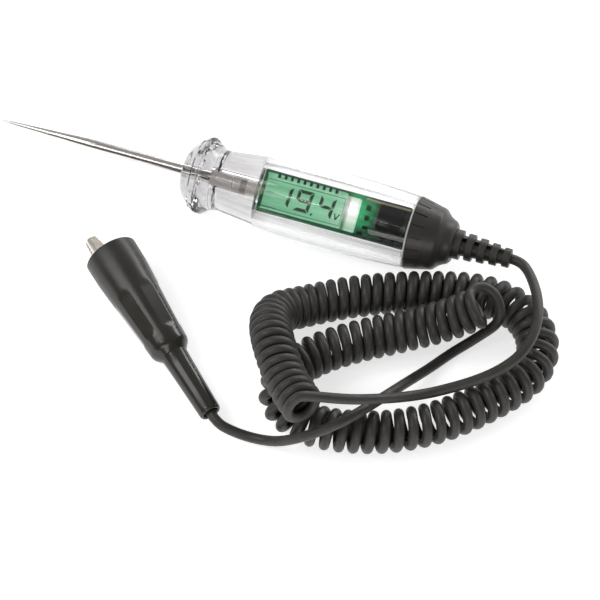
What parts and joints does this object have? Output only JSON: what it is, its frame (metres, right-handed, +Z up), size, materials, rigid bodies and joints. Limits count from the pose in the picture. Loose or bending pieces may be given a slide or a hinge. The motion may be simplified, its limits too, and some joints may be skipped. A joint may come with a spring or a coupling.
{
  "type": "circuit test light",
  "caption": "Voltage test light: steel probe in a clear handle with a lit voltmeter display, screw cap, ribbed strain relief, curly cord and a booted alligator clip.",
  "frame": {"origin": "bottom centre of the handle's bounding box, on the surface it lies on, cord and clip left out", "axes": "+X along the handle from the probe's point to the strain relief, +Z up; the barrel rests on z = 0"},
  "size_m": [0.239, 0.1188, 0.0397],
  "materials": {
    "needle_steel": "ground stainless steel",
    "nickel": "nickel plate",
    "clear_plastic": "clear moulded acetate, polished",
    "board": "dark green solder mask",
    "light_guide": "frosted clear light guide",
    "led": "white light-emitting diode, lit",
    "lcd_glass": "liquid-crystal glass, lit green",
    "tin": "tinned metal",
    "chip_black": "moulded black epoxy",
    "ceramic_tan": "ceramic",
    "jumper_yellow": "insulated wire",
    "brass": "plain brass",
    "copper": "stranded copper",
    "seal_grey": "soft grey seal",
    "cap_black": "moulded black, fine matt",
    "relief_black": "moulded black rubber",
    "cord_black": "black cord jacket, satin",
    "boot_black": "black vinyl, semi-gloss"
  },
  "bodies": {
    "tester": {"probe_needle": "needle_steel", "probe_ferrule": "nickel", "contact_collar": "nickel", "contact_sleeve": "nickel", "handle_body": "clear_plastic", "nose_bush": "clear_plastic", "circuit_board": "board", "light_guide": "light_guide", "backlight_led": "led", "lcd_rear_glass": "lcd_glass", "lcd_front_glass": "lcd_glass", "lcd_pins": "tin", "microcontroller": "chip_black", "chip_leads": "tin", "chip_resistors": "chip_black", "chip_capacitors": "ceramic_tan", "crystal": "tin", "solder_joints": "tin", "jumper_wire": "jumper_yellow", "probe_tab": "brass", "board_holder": "cap_black", "strain_relief": "relief_black", "crimp_ring": "brass", "cord_stub": "cord_black", "ground_wire": "cord_black", "cord_lead_1": "cord_black", "curly_cord": "cord_black", "cord_lead_2": "cord_black", "cord_tail": "cord_black", "conductor": "copper", "clip_boot": "boot_black", "clip_lower_jaw": "nickel", "jaw_pin": "needle_steel", "jaw_spring": "needle_steel"},
    "cap_seal": {"seal_ring": "seal_grey"},
    "cap": {"end_cap": "cap_black"},
    "upper_jaw": {"clip_upper_jaw": "nickel"}
  },
  "joints": [
    {"name": "cap_travel", "type": "slide", "parent": "tester", "child": "cap_seal", "axis": [1, 0, 0], "range_m": [0, 0.002]},
    {"name": "cap_turn", "type": "hinge", "parent": "cap_seal", "child": "cap", "pos_m": [0.074, 0, 0.0156], "axis": [-1, 0, 0], "range_deg": [0, 360]},
    {"name": "jaw_open", "type": "hinge", "parent": "tester", "child": "upper_jaw", "pos_m": [-0.03512, -0.05317, 0.00978], "axis": [0.5951, 0.7872, -0.1616], "range_deg": [0, 20], "stiffness_Nm_per_rad": 0.05, "springref_deg": -20.05, "deforming": ["jaw_spring"]}
  ],
  "couplings": [
    {"joint": "cap_travel", "follows": "cap_turn", "m_per_rad": 0.00031831}
  ]
}
